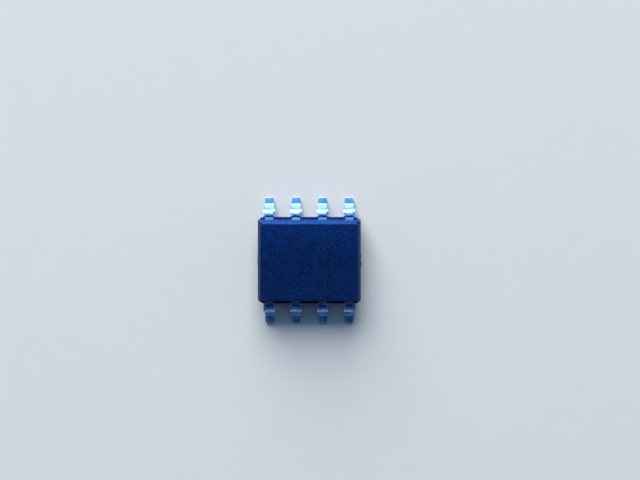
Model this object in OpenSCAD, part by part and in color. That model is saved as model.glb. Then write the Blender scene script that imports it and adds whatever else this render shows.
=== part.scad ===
// Small-outline integrated circuit: eight gull-wing leads and a die on a copper paddle, moulded in epoxy.
// z = 0 is the seating plane under the feet. +X runs along the moulding, and the two rows of leads leave
// on +Y and -Y. The index bevel marks the +Y side, where lead 1 is the one nearest +X.

/* [Moulding] */
// Length of the moulding along X, at its parting band
body_length = 4.90; // [4.80:0.01:5.00]
// Width of the moulding along Y, between its parting bands
body_width = 3.90; // [3.80:0.01:4.00]
// Height of the moulding above the lead frame
upper_height = 0.60; // [0.56:0.01:0.70]
// Height of the moulding below the lead frame
lower_height = 0.65; // [0.60:0.01:0.75]
// Gap between the board and the underside of the moulding
standoff = 0.15; // [0.10:0.01:0.25]
// Draft of the two long sides, in degrees
side_draft = 8; // [5:1:12]
// Draft of the two ends, in degrees
end_draft = 13; // [8:1:15]
// Leg of the 45 degree index bevel along the +Y top edge
index_bevel = 0.16; // [0.08:0.01:0.22]
// Radius of the four upright corners
corner_radius = 0.09; // [0.06:0.01:0.12]
// Radius that rounds the top and bottom edges
edge_radius = 0.035; // [0.02:0.005:0.05]

/* [Moulding marks] */
// How far the dambar resin between the leads stands out from the long sides
ledge_width = 0.11; // [0.06:0.01:0.13]
// Distance from each end of the moulding to where the dambar resin starts
ledge_setback = 0.11; // [0.06:0.01:0.20]
// Diameter of the two shallow ejector marks in the underside
ejector_mark_d = 0.80; // [0.50:0.05:1.00]
// Depth of the ejector marks
ejector_mark_depth = 0.03; // [0.01:0.005:0.05]
// Distance between the ejector marks' centres
ejector_mark_pitch = 2.60; // [1.60:0.10:3.00]
// Width of the broken-off gate on the +X end
gate_width = 0.80; // [0.50:0.05:1.20]
// Height of the broken-off gate, down from the lead frame
gate_height = 0.16; // [0.08:0.01:0.25]
// Depth to which resin is chipped away over the cut ends of the tie bars
chip_depth = 0.08; // [0.04:0.01:0.10]
// Height of those chips above the lead frame
chip_height = 0.05; // [0.02:0.01:0.08]

/* [Leads] */
// Distance between neighbouring leads
lead_pitch = 1.27; // [1.25:0.01:1.29]
// Thickness of the lead frame
lead_thickness = 0.20; // [0.17:0.01:0.22]
// Width of a lead at its foot
lead_width = 0.42; // [0.36:0.01:0.46]
// Width of a lead where it leaves the moulding
shoulder_width = 0.40; // [0.34:0.01:0.44]
// Width across the stubs that are left of the cut dambar
stub_width = 0.53; // [0.48:0.01:0.58]
// How far below the shoulder's top face the stubs keep their full width
stub_drop = 0.20; // [0.12:0.01:0.26]
// Height over which the stubs narrow to the lead's width
stub_taper = 0.10; // [0.06:0.01:0.16]
// Distance from toe to toe across the two rows of leads
toe_span = 6.00; // [5.94:0.01:6.10]
// Length of the flat foot
foot_length = 0.29; // [0.26:0.01:0.34]
// Slope of the lead between its bends, in degrees from the board
lead_slope = 75; // [72:1:82]
// Inside radius of the bend at the shoulder
shoulder_bend = 0.10; // [0.08:0.01:0.12]
// Inside radius of the bend at the heel
heel_bend = 0.15; // [0.12:0.01:0.16]
// Radius of the toe's corners, seen from above
toe_corner = 0.09; // [0.05:0.01:0.12]
// Radius of the toe's upper edge
toe_edge = 0.05; // [0.02:0.01:0.08]

/* [Lead frame inside the moulding] */
// Length of the die paddle along X
paddle_length = 3.20; // [3.00:0.05:3.30]
// Width of the die paddle along Y
paddle_width = 2.30; // [2.10:0.05:2.40]
// How far the paddle is pressed down below the leads
downset = 0.18; // [0.10:0.01:0.22]
// Width of the two tie bars that carry the paddle
tie_bar_width = 0.30; // [0.20:0.01:0.36]
// How far the cut ends of the tie bars stand out of the moulding
tie_bar_stub = 0.02; // [0.01:0.005:0.03]
// Gap between the inner leads and the paddle, seen from above
inner_gap = 0.16; // [0.10:0.01:0.20]
// Width of the anchor head on the inner end of a middle lead
anchor_width = 0.76; // [0.60:0.02:0.86]
// Length of the anchor heads along Y
anchor_length = 0.30; // [0.22:0.01:0.34]
// How far the outer leads' heads reach towards the middle of the chip, from their centre line
outer_reach = 0.60; // [0.50:0.02:0.66]
// Distance from the X axis to the inner ends of the outer leads
tail_end = 0.60; // [0.40:0.05:0.80]
// Chamfer of the corners of the paddle and the inner leads
frame_chamfer = 0.06; // [0.02:0.01:0.08]

/* [Die and wires] */
// Length of the die along X
die_length = 2.00; // [1.60:0.05:2.40]
// Width of the die along Y
die_width = 1.60; // [1.20:0.05:1.80]
// Thickness of the die
die_thickness = 0.25; // [0.20:0.01:0.28]
// Thickness of the adhesive under the die
bond_line = 0.03; // [0.02:0.005:0.04]
// How far the adhesive is squeezed out round the die
adhesive_margin = 0.10; // [0.04:0.01:0.14]
// Distance from the die's edges to the middle of a bond pad
pad_inset = 0.11; // [0.08:0.01:0.16]
// Diameter of the bond wires
wire_d = 0.03; // [0.026:0.002:0.038]
// Diameter of the ball at the die end of a wire
ball_d = 0.08; // [0.07:0.005:0.10]
// Height of the ball
ball_height = 0.02; // [0.015:0.005:0.03]
// Height of the wire loops above the die
loop_height = 0.19; // [0.12:0.01:0.22]
// Length of the wedge that is pressed onto the lead
wedge_length = 0.09; // [0.06:0.01:0.12]
// Distance from an inner lead's tip to the end of the wedge
wedge_inset = 0.18; // [0.14:0.01:0.20]

/* [Hidden] */
leads_per_side = 4;
lead_count = 2 * leads_per_side;
LEADS = [1 : lead_count];

// Steps in an arc of a bend or a corner, round an ejector mark, along a wire's loop and round a wire
bend_steps = 10;
corner_steps = 4;
mark_sides = 32;
loop_steps = 10;
wire_sides = 8;

// Levels
frame_bottom = standoff + lower_height;
frame_top = frame_bottom + lead_thickness;
body_top = frame_top + upper_height;
paddle_bottom = frame_bottom - downset;
paddle_top = paddle_bottom + lead_thickness;
die_bottom = paddle_top + bond_line;
die_top = die_bottom + die_thickness;

// The lead's side view: centres of its two bends, and where its parts start along Y
toe_y = toe_span / 2;
foot_y = toe_y - foot_length;
shoulder_centre_z = frame_bottom - shoulder_bend;
heel_centre_z = lead_thickness + heel_bend;
bend_reach = shoulder_bend + lead_thickness + heel_bend;
slope_length = (shoulder_centre_z - heel_centre_z + bend_reach * cos(lead_slope)) / sin(lead_slope);
bend_y = foot_y - bend_reach * sin(lead_slope) - slope_length * cos(lead_slope);
ledge_y = body_width / 2 + ledge_width;

// The inner leads, seen from above
tip_y = paddle_width / 2 + inner_gap;
anchor_y = tip_y + anchor_length;
neck_y = tip_y + anchor_length / 2;
outer_lead_x = (leads_per_side - 1) / 2 * lead_pitch;
tail_width = outer_lead_x + shoulder_width / 2 - paddle_length / 2 - inner_gap;

// Cuts that run out of what they cut go this much past it
past = 0.1;

function arc(centre, radius, from, to, steps = bend_steps) = [
    for (i = [0 : steps])
        let (a = from + (to - from) * i / steps)
        centre + radius * [cos(a), sin(a)]
];

// A lead is counted from +X on the +Y side, and goes on anticlockwise on the -Y side
function place_in_row(i) = (i - 1) % leads_per_side;
function lead_x(i) = (leads_per_side - 1 - 2 * place_in_row(i)) / 2 * lead_pitch;
function row_turn(i) = i > leads_per_side ? 180 : 0;
function is_outer(i) = place_in_row(i) == 0 || place_in_row(i) == leads_per_side - 1;
function to_middle(i) = lead_x(i) > 0 ? -1 : 1;

// A solid through a stack of rings that have the same number of points, each anticlockwise from above
module loft(rings) {
    n = len(rings[0]);
    last = len(rings) - 1;
    polyhedron(
        points = [for (ring = rings) each ring],
        faces = concat(
            [[for (j = [0 : n - 1]) j]],
            [[for (j = [n - 1 : -1 : 0]) last * n + j]],
            [for (k = [0 : last - 1], j = [0 : n - 1], half = [0, 1])
                let (a = k * n + j, b = k * n + (j + 1) % n)
                half == 0 ? [a, a + n, b] : [b, a + n, b + n]]
        )
    );
}

// The moulding: drafted both ways from the parting band, with rounded edges and the index bevel
function body_ring(z, edge) =
    let (
        rise = max(z - frame_top, frame_bottom - z, 0),
        end = body_length / 2 - rise * tan(end_draft) - edge,
        side = body_width / 2 - rise * tan(side_draft) - edge,
        bevel = max(0, z - (body_top - index_bevel)),
        x = end - corner_radius,
        y_high = side - bevel - corner_radius,
        y_low = -side + corner_radius,
        corners = [[x, y_high], [-x, y_high], [-x, y_low], [x, y_low]]
    )
    [for (c = [0 : 3]) each [
        for (p = arc(corners[c], corner_radius, 90 * c, 90 * c + 90, corner_steps)) [p.x, p.y, z]
    ]];

function edge_inset(a) = edge_radius * (1 - cos(a));
function edge_rise(a) = edge_radius * (1 - sin(a));

function body_rings() = concat(
    [for (i = [corner_steps : -1 : 0])
        let (a = 90 * i / corner_steps)
        body_ring(standoff + edge_rise(a), edge_inset(a))],
    [for (z = [frame_bottom, frame_top, body_top - index_bevel]) body_ring(z, 0)],
    [for (i = [0 : corner_steps])
        let (a = 90 * i / corner_steps)
        body_ring(body_top - edge_rise(a), edge_inset(a))]
);

// Resin that ran out between the leads as far as the dambar, flush with the lead frame
module dambar_resin() {
    start_x = body_length / 2 - ledge_setback;
    end_x = outer_lead_x + shoulder_width / 2;
    half = [[start_x, body_width / 2], [end_x, ledge_y], [-end_x, ledge_y], [-start_x, body_width / 2]];
    translate([0, 0, frame_bottom])
        linear_extrude(lead_thickness)
            polygon(concat(half, [for (p = half) -p]));
}

// Resin that stays where the moulding was broken off its runner
module gate_vestige() {
    root_x = body_length / 2 - ledge_setback;
    face_x = body_length / 2 + tie_bar_stub;
    translate([0, 0, frame_bottom - gate_height])
        linear_extrude(gate_height)
            polygon([
                [root_x, -gate_width / 2], [body_length / 2, -gate_width / 2],
                [face_x, -gate_width * 0.38], [face_x, gate_width * 0.30],
                [body_length / 2, gate_width / 2], [root_x, gate_width / 2]
            ]);
}

module ejector_marks() {
    for (x = [-ejector_mark_pitch / 2, ejector_mark_pitch / 2])
        loft([for (z = [standoff - past, standoff + ejector_mark_depth])
            let (draft = z > standoff ? ejector_mark_depth : 0)
            [for (i = [0 : mark_sides - 1])
                let (a = 360 * i / mark_sides, r = ejector_mark_d / 2 - draft)
                [x + r * cos(a), r * sin(a), z]]]);
}

// Resin chipped off over the tie bars when the frame was cut away
module tie_bar_chips() {
    for (side = [-1, 1])
        translate([side * body_length / 2, 0, frame_top + chip_height / 2])
            cube([2 * chip_depth, tie_bar_width, chip_height], center = true);
}

module package_body() {
    color([0.04, 0.15, 0.36])
    difference() {
        union() {
            loft(body_rings());
            dambar_resin();
            gate_vestige();
        }
        ejector_marks();
        tie_bar_chips();
        for (i = LEADS) {
            lead(i);
            bond_wire(i);
        }
        die_paddle();
        die_attach();
        silicon_die();
    }
}

module in_row(i) {
    rotate([0, 0, row_turn(i)])
        translate([lead_x(i), 0, 0])
            children();
}

// A bar's end or head with chamfered corners, between two opposite corners
function chamfered(low, high, c = frame_chamfer) = [
    [low.x + c, low.y], [high.x - c, low.y], [high.x, low.y + c], [high.x, high.y - c],
    [high.x - c, high.y], [low.x + c, high.y], [low.x, high.y - c], [low.x, low.y + c]
];

// The flat inner end of a lead: a middle one is an anchor head, an outer one turns round the paddle's corner
module lead_head(outer, middle) {
    half = shoulder_width / 2;
    translate([0, 0, frame_bottom])
        linear_extrude(lead_thickness)
            mirror([middle < 0 ? 1 : 0, 0])
                if (outer) {
                    polygon(chamfered([-half, tip_y], [outer_reach, anchor_y]));
                    polygon(chamfered([-half, tail_end], [tail_width - half, anchor_y]));
                } else {
                    polygon(chamfered([-anchor_width / 2, tip_y], [anchor_width / 2, anchor_y]));
                }
}

// Side view of the bent lead, with Y to the right and Z up
function lead_profile() =
    let (
        shoulder = [bend_y, shoulder_centre_z],
        heel = [foot_y, heel_centre_z],
        thick = lead_thickness
    )
    concat(
        [[neck_y, frame_bottom], [neck_y, frame_top]],
        arc(shoulder, shoulder_bend + thick, 90, 90 - lead_slope),
        arc(heel, heel_bend, 270 - lead_slope, 270),
        arc([toe_y - toe_edge, thick - toe_edge], toe_edge, 90, 0, corner_steps),
        [[toe_y, 0]],
        arc(heel, heel_bend + thick, 270, 270 - lead_slope),
        arc(shoulder, shoulder_bend, 90 - lead_slope, 90)
    );

// The lead seen from the front: the dambar stubs and how they narrow
function lead_front() =
    let (
        full = frame_top - stub_drop,
        right = [
            [lead_width / 2, -past], [lead_width / 2, full - stub_taper],
            [stub_width / 2, full], [stub_width / 2, frame_top + past]
        ]
    )
    concat(right, [for (k = [len(right) - 1 : -1 : 0]) [-right[k].x, right[k].y]]);

// The lead seen from above: the neck, the dambar stubs just outside the resin, and the cut toe's corners
function lead_plan() =
    let (
        neck = shoulder_width / 2,
        stub = stub_width / 2 + past,
        foot = lead_width / 2,
        corner = [foot - toe_corner, toe_y - toe_corner]
    )
    concat(
        [[-neck, neck_y], [neck, neck_y], [neck, ledge_y], [stub, ledge_y], [stub, foot_y], [foot, foot_y]],
        arc(corner, toe_corner, 0, 90, corner_steps),
        arc([-corner.x, corner.y], toe_corner, 90, 180, corner_steps),
        [[-foot, foot_y], [-stub, foot_y], [-stub, ledge_y], [-neck, ledge_y]]
    );

module formed_strip() {
    intersection() {
        translate([-lead_pitch / 2, 0, 0])
            rotate([90, 0, 90])
                linear_extrude(lead_pitch)
                    polygon(lead_profile());
        rotate([90, 0, 180])
            linear_extrude(toe_span)
                polygon(lead_front());
        translate([0, 0, -past])
            linear_extrude(frame_top + 2 * past)
                polygon(lead_plan());
    }
}

module lead(i) {
    color([0.62, 0.80, 0.96])
    in_row(i) {
        lead_head(is_outer(i), to_middle(i));
        formed_strip();
    }
}

// Side view of a tie bar, from inside the paddle up to its cut end
function tie_bar_profile() =
    let (
        root = paddle_length / 2 - inner_gap,
        ramp = paddle_length / 2 + frame_chamfer,
        set = lead_thickness * tan(45 / 2),
        end = body_length / 2 + tie_bar_stub
    )
    [
        [root, paddle_bottom], [ramp, paddle_bottom],
        [ramp + downset, frame_bottom], [end, frame_bottom],
        [end, frame_top], [ramp + downset - set, frame_top],
        [ramp - set, paddle_top], [root, paddle_top]
    ];

module die_paddle() {
    color([0.72, 0.45, 0.29]) {
        translate([0, 0, paddle_bottom])
            linear_extrude(lead_thickness)
                polygon(chamfered(-[paddle_length, paddle_width] / 2, [paddle_length, paddle_width] / 2));
        for (side = [0, 180])
            rotate([0, 0, side])
                translate([0, tie_bar_width / 2, 0])
                    rotate([90, 0, 0])
                        linear_extrude(tie_bar_width)
                            polygon(tie_bar_profile());
    }
}

// A rounded rectangle round the die, at one level
function die_ring(margin, z) =
    let (
        x = die_length / 2,
        y = die_width / 2,
        corners = [[x, y], [-x, y], [-x, -y], [x, -y]]
    )
    [for (c = [0 : 3]) each [
        for (p = arc(corners[c], margin, 90 * c, 90 * c + 90, corner_steps)) [p.x, p.y, z]
    ]];

module die_attach() {
    color([0.60, 0.60, 0.58])
        loft([die_ring(adhesive_margin, paddle_top), die_ring(adhesive_margin / 3, die_bottom)]);
}

module silicon_die() {
    color([0.35, 0.36, 0.42])
        translate([-die_length / 2, -die_width / 2, die_bottom])
            cube([die_length, die_width, die_thickness]);
}

// A wire runs in an upright plane: along is the distance from the ball towards the lead, and each station
// holds [along, height, slope, half width, half thickness]. Its section's flat facets reach `flat` of the radius.
flat = cos(180 / wire_sides);

function pad(i) = [
    lead_x(i) / outer_lead_x * (die_length / 2 - pad_inset),
    die_width / 2 - pad_inset
];
function landing(i) = [
    lead_x(i) + (is_outer(i) ? to_middle(i) * (outer_reach - shoulder_width / 2) / 2 : 0),
    tip_y + wedge_inset
];

function ball_stations() = [
    for (s = [[0, 0.85], [0.3, 1], [0.75, 0.9], [1, wire_d / ball_d]])
        [0, die_top + s[0] * ball_height, 90, s[1] * ball_d / 2, s[1] * ball_d / 2]
];

function bezier(p, t) =
    pow(1 - t, 3) * p[0] + 3 * pow(1 - t, 2) * t * p[1] + 3 * (1 - t) * t * t * p[2] + pow(t, 3) * p[3];
function bezier_slope(p, t) =
    let (d = pow(1 - t, 2) * (p[1] - p[0]) + 2 * (1 - t) * t * (p[2] - p[1]) + t * t * (p[3] - p[2]))
    atan2(d.y, d.x);

function loop_stations(span) =
    let (
        start = [0, die_top + ball_height],
        touch = [span - wedge_length, frame_top + flat * wire_d / 2],
        peak = die_top + 4 / 3 * loop_height,
        path = [start, [0, peak], [span / 2, peak], touch]
    )
    [for (i = [1 : loop_steps])
        let (t = i / loop_steps, p = bezier(path, t))
        [p.x, p.y, i == loop_steps ? 0 : bezier_slope(path, t), wire_d / 2, wire_d / 2]];

function wedge_stations(span) = [
    for (s = [[0.3, 1.6, 0.5], [0.7, 1.8, 0.35], [1, 1.3, 0.2]])
        [
            span - (1 - s[0]) * wedge_length, frame_top + flat * s[2] * wire_d / 2, 0,
            s[1] * wire_d / 2, s[2] * wire_d / 2
        ]
];

function wire_ring(start, heading, station) =
    let (
        side = [-heading.y, heading.x, 0],
        ahead = [heading.x, heading.y, 0],
        slope = station[2],
        up = -sin(slope) * ahead + cos(slope) * [0, 0, 1],
        centre = [start.x, start.y, station[1]] + station[0] * ahead
    )
    [for (j = [wire_sides - 1 : -1 : 0])
        let (a = (j + 0.5) * 360 / wire_sides)
        centre + station[3] * cos(a) * side + station[4] * sin(a) * up];

module bond_wire(i) {
    start = pad(i);
    span = norm(landing(i) - start);
    heading = (landing(i) - start) / span;
    stations = concat(ball_stations(), loop_stations(span), wedge_stations(span));
    color([0.93, 0.74, 0.32])
        rotate([0, 0, row_turn(i)])
            loft([for (s = stations) wire_ring(start, heading, s)]);
}

package_body();
die_paddle();
die_attach();
silicon_die();
for (i = LEADS) lead(i);
for (i = LEADS) bond_wire(i);
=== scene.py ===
"""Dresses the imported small-outline chip: its moulding, torn resin, formed leads and what is inside.

Everything is in metres, in the part's own frame: z = 0 is the seating plane, +X runs along the moulding
and the two rows of leads leave on +Y and -Y.
"""

import math

import bmesh
import bpy
from bpy.props import FloatProperty, FloatVectorProperty, IntProperty, PointerProperty
from bpy.types import Operator, Panel, PropertyGroup
from mathutils import Matrix, Vector, noise


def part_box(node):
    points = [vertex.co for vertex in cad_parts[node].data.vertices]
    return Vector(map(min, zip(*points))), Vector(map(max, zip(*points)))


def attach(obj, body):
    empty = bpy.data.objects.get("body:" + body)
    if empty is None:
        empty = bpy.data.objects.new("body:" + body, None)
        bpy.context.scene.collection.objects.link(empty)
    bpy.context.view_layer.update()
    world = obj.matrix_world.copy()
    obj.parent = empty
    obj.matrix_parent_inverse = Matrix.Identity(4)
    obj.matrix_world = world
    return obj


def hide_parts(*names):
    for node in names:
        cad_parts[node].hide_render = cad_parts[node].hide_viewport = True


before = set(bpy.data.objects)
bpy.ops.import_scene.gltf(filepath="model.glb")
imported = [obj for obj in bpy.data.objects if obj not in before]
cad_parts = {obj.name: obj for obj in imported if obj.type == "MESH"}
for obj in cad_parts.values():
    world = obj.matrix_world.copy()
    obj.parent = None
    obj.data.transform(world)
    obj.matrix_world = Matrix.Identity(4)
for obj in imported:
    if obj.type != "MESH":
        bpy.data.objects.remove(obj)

bl_info = {
    "name": "Small-outline chip",
    "version": (1, 0, 0),
    "blender": (4, 5, 0),
    "location": "View3D > Sidebar > Chip",
    "description": "Dresses a moulded chip with eight gull-wing leads and sets the studio round it",
    "category": "Object",
}

MM = 0.001
ROOT = "root"
LEADS = range(1, 9)
CORNER_LEADS = (1, 4, 5, 8)

X, Z = 0, 2
TINY = 1e-7
LONG = 0.1 * MM  # an edge that runs further than this along an axis is taken to lie along it
TURNED_ROUND = Matrix.Rotation(math.pi, 3, "Z")

BODY_LOW, BODY_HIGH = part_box("package_body")
LEAD_LOW, LEAD_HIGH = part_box("lead_2")
PADDLE_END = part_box("die_paddle")[1].x
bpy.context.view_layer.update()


# ---------------------------------------------------------------- sizes and colours

def length(name, description, default, low=0.0, high=0.01):
    return FloatProperty(
        name=name, description=description, default=default, min=low, max=high, precision=6, unit="LENGTH"
    )


def angle(name, description, default):
    return FloatProperty(
        name=name, description=description, default=math.radians(default), min=0.0, max=math.pi / 2,
        subtype="ANGLE",
    )


def colour(name, description, default):
    return FloatVectorProperty(
        name=name, description=description, default=default, size=3, min=0.0, max=1.0, subtype="COLOR"
    )


def power(name, description, default):
    return FloatProperty(
        name=name, description=description, default=default, min=0.0, max=50.0, precision=3, unit="POWER"
    )


class MouldingSettings(PropertyGroup):
    body_length: length("Length", "Length of the moulding at its parting band", 4.90 * MM)
    body_width: length("Width", "Width of the moulding at its parting band", 3.90 * MM)
    band_bottom: length("Band bottom", "Height of the lead frame's underside", 0.80 * MM)
    band_top: length("Band top", "Height of the lead frame's upper side", 1.00 * MM)
    side_draft: angle("Side draft", "Draft of the two long sides", 8.0)
    end_draft: angle("End draft", "Draft of the two ends", 13.0)
    index_bevel: length("Index bevel", "Leg of the bevel along the +Y top edge", 0.16 * MM)
    corner_radius: length("Corner radius", "Radius of the four upright corners", 0.09 * MM)
    edge_radius: length("Edge radius", "Radius of the top and bottom edges", 0.035 * MM)
    mark_diameter: length("Ejector mark", "Diameter of the marks in the underside", 0.80 * MM)
    mark_depth: length("Mark depth", "Depth of the marks in the underside", 0.03 * MM)
    mark_pitch: length("Mark pitch", "Distance between the marks", 2.60 * MM)
    resin_colour: colour("Resin", "Colour of the moulding compound", (0.0010, 0.0124, 0.090))
    speck_colour: colour("Specks", "Colour of the rare bright specks", (0.10, 0.22, 0.42))
    filler_colour: colour("Filler", "Colour of the filler grains in the surface", (0.055, 0.13, 0.36))
    dust_colour: colour("Dust", "Colour of the dust that settled on top", (0.25, 0.30, 0.38))
    grain_size: length("Grain", "Size of the spark-eroded grain", 0.045 * MM)
    grain_depth: length("Grain depth", "Depth of the spark-eroded grain", 0.008 * MM)


class LeadSettings(PropertyGroup):
    thickness: length("Thickness", "Thickness of the lead frame", 0.20 * MM)
    foot_width: length("Foot width", "Width of a lead at its foot", 0.42 * MM)
    shoulder_width: length("Shoulder width", "Width where a lead leaves the moulding", 0.40 * MM)
    stub_width: length("Stub width", "Width across the stubs of the cut dambar", 0.53 * MM)
    stub_taper: length("Stub taper", "Height over which the stubs narrow to the foot's width", 0.10 * MM)
    slope: angle("Slope", "Slope of a lead between its bends, from the board", 75.0)
    shoulder_bend: length("Shoulder bend", "Inside radius of the bend at the shoulder", 0.14 * MM)
    heel_bend: length("Heel bend", "Inside radius of the bend at the heel", 0.15 * MM)
    foot_length: length("Foot length", "Length of the flat foot", 0.26 * MM)
    toe_corner: length("Toe corner", "Radius of the toe's corners, from above", 0.12 * MM)
    toe_edge: length("Toe edge", "Radius of the toe's upper edge", 0.055 * MM)
    rolled_edge: length("Rolled edge", "Radius of the stamped edges", 0.036 * MM)
    bend_steps: IntProperty(name="Bend steps", description="Steps in a bend", default=14, min=4, max=32)
    clamp_print: length("Clamp print", "Depth to which the mould pressed the shoulder", 0.016 * MM)
    print_slope: angle("Print slope", "Outward slope of the clamp print", 7.0)
    stub_droop: angle("Stub droop", "Slope to which the punch dragged the stubs' ends down", 20.0)
    foot_slope: angle("Foot slope", "Outward slope of the coined foot's upper side", 3.5)
    plating_colour: colour("Plating", "Colour of the tin plating", (0.26, 0.50, 0.83))
    bare_colour: colour("Bare copper", "Colour of the trimmed ends", (0.40, 0.235, 0.155))
    bleed_colour: colour("Bleed", "Colour of the resin that crept over the shoulders", (0.003, 0.046, 0.20))
    upper_bleed: length("Upper bleed", "How far resin crept over the +Y row's shoulders", 0.030 * MM)
    lower_bleed: length("Lower bleed", "How far resin crept over the -Y row's shoulders", 0.105 * MM)
    bleed_width: length("Bleed width", "Width of the dark line where that resin ends", 0.080 * MM)
    bleed_waver: length("Bleed waver", "How far that line wanders to each side", 0.040 * MM)


class InsideSettings(PropertyGroup):
    copper_colour: colour("Copper", "Colour of the paddle and its tie bars", (0.62, 0.30, 0.17))
    smear_colour: colour("Smear", "Colour of the tin smeared over the tie bars' ends", (0.50, 0.62, 0.76))
    adhesive_colour: colour("Adhesive", "Colour of the silver-filled adhesive", (0.42, 0.41, 0.39))
    silicon_colour: colour("Silicon", "Colour of the die's back and sides", (0.16, 0.17, 0.20))
    circuit_colour: colour("Circuit", "Colour of the die's circuit side", (0.24, 0.20, 0.33))
    streets_colour: colour("Streets", "Colour of the metal round the circuit's blocks", (0.55, 0.48, 0.30))
    flake_colour: colour("Flakes", "Colour of the adhesive's silver flakes", (0.75, 0.74, 0.72))
    gold_colour: colour("Gold", "Colour of the bond wires", (0.90, 0.62, 0.22))


class StageSettings(PropertyGroup):
    floor_colour: colour("Floor", "Colour of the floor", (0.83, 0.80, 0.765))
    lit_colour: colour("Lit wall", "Colour of the surroundings on the window's side", (0.95, 1.0, 1.0))
    shade_colour: colour("Shaded wall", "Colour of the surroundings on the other side", (0.18, 0.21, 0.43))
    ceiling_colour: colour("Ceiling", "Colour of the surroundings overhead", (0.013, 0.015, 0.044))
    window_colour: colour("Window", "Colour of the window light", (0.88, 0.95, 1.0))
    window_power: power("Window power", "Power of the window light", 3.2)
    window_turn: angle("Window turn", "Turn of the window light from +Y towards -X", 12.0)
    window_rise: angle("Window rise", "Elevation of the window light", 27.0)
    window_width: length("Window width", "Width of the window light", 360 * MM, high=2.0)
    window_height: length("Window height", "Height of the window light", 400 * MM, high=2.0)
    overhead_colour: colour("Overhead", "Colour of the overhead light", (0.15, 0.64, 1.0))
    overhead_power: power("Overhead power", "Power of the overhead light", 0.175)
    overhead_turn: angle("Overhead turn", "Turn of the overhead light from +Y towards -X", 4.0)
    overhead_rise: angle("Overhead rise", "Elevation of the overhead light", 72.0)
    overhead_width: length("Overhead width", "Width of the overhead light", 300 * MM, high=2.0)
    overhead_height: length("Overhead height", "Height of the overhead light", 200 * MM, high=2.0)
    lamp_distance: length("Lamp distance", "Distance of both lights from the chip", 400 * MM, high=5.0)
    camera_distance: length("Camera distance", "Height of the camera over the board", 125 * MM, high=1.0)
    camera_angle: angle("Camera angle", "Horizontal field of view", 14.0)
    camera_x: length("Camera X", "Place of the camera along X", 0.51 * MM, low=-0.1, high=0.1)
    camera_y: length("Camera Y", "Place of the camera along Y", 0.96 * MM, low=-0.1, high=0.1)


# ---------------------------------------------------------------- mesh helpers

def everything(bm):
    """All that a mesh holds, for the operators that want it in one list."""
    return bm.verts[:] + bm.edges[:] + bm.faces[:]


def verts_of(geom):
    return [v for v in geom if isinstance(v, bmesh.types.BMVert)]


def edges_of(geom):
    return [e for e in geom if isinstance(e, bmesh.types.BMEdge)]


def run(edge, axis):
    """How far an edge runs along an axis."""
    return abs(edge.verts[0].co[axis] - edge.verts[1].co[axis])


def height_of(face):
    """How high a face's middle is."""
    return face.calc_center_median().z


def part_way(value, whole):
    """How far a value has come along a length, kept between none and all of it."""
    return min(1.0, max(0.0, value / whole))


def draw_out(bm, face, offset):
    """Extrudes a face by an offset and gives its new end."""
    end = bmesh.ops.extrude_discrete_faces(bm, faces=[face])["faces"][0]
    bmesh.ops.translate(bm, vec=offset, verts=end.verts)
    return end


def block(bm, low, high):
    """A box between two corners, as its eight vertices."""
    low, high = Vector(low), Vector(high)
    verts = bmesh.ops.create_cube(bm, size=1.0)["verts"]
    bmesh.ops.scale(bm, vec=high - low, verts=verts)
    bmesh.ops.translate(bm, vec=(low + high) / 2, verts=verts)
    return verts


def cut(bm, point, normal, geom=None, clear=False):
    """Cuts along a plane, and gives the cut's edges."""
    made = bmesh.ops.bisect_plane(
        bm, geom=geom or everything(bm), plane_co=point, plane_no=normal, clear_outer=clear, dist=1e-9
    )
    return edges_of(made["geom_cut"])


def round_off(bm, edges, radius, segments):
    """Bevels edges to a radius, where there are any."""
    if edges:
        bmesh.ops.bevel(
            bm, geom=edges, offset=radius, offset_type="OFFSET", segments=segments, profile=0.5,
            affect="EDGES", clamp_overlap=True, material=-1, loop_slide=True,
        )


def hard_edges(bm, degrees, keep):
    """The edges that turn by more than an angle and pass a test."""
    return [
        e for e in bm.edges
        if e.is_manifold and e.calc_face_angle(0.0) > math.radians(degrees) and keep(e)
    ]


def middle_of(edge):
    """The point halfway along an edge."""
    return (edge.verts[0].co + edge.verts[1].co) / 2


def finished(bm, name, materials, replaces=(), crease=40):
    """Writes the mesh to an object at the origin that rides on the chip."""
    bmesh.ops.remove_doubles(bm, verts=bm.verts, dist=1e-8)
    bmesh.ops.recalc_face_normals(bm, faces=bm.faces)
    for face in bm.faces:
        face.smooth = True
    mesh = bpy.data.meshes.new(name)
    bm.to_mesh(mesh)
    bm.free()
    mesh.set_sharp_from_angle(angle=math.radians(crease))
    for material in materials:
        mesh.materials.append(material)
    piece = bpy.data.objects.new(name, mesh)
    bpy.context.collection.objects.link(piece)
    weighted = piece.modifiers.new("Even shading", "WEIGHTED_NORMAL")
    weighted.keep_sharp = True
    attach(piece, ROOT)
    if replaces:
        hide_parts(*replaces)
    return piece


# ---------------------------------------------------------------- shader helpers

def put(tree, kind, x, y, inputs=None, **settings):
    """Adds a node with its settings and unlinked inputs."""
    node = tree.nodes.new(kind)
    node.location = (x, y)
    for key, value in settings.items():
        setattr(node, key, value)
    for key, value in (inputs or {}).items():
        node.inputs[key].default_value = value
    return node


def maths(tree, operation, x, y, first, second=None, clamp=False):
    """A Math node between sockets or numbers."""
    node = put(tree, "ShaderNodeMath", x, y, operation=operation, use_clamp=clamp)
    for socket, value in zip(node.inputs, (first, second)):
        if isinstance(value, bpy.types.NodeSocket):
            tree.links.new(value, socket)
        elif value is not None:
            socket.default_value = value
    return node.outputs[0]


def times(tree, x, y, first, second):
    return maths(tree, "MULTIPLY", x, y, first, second)


def plus(tree, x, y, first, second, clamp=False):
    return maths(tree, "ADD", x, y, first, second, clamp)


def minus(tree, x, y, first, second, clamp=False):
    return maths(tree, "SUBTRACT", x, y, first, second, clamp)


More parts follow.
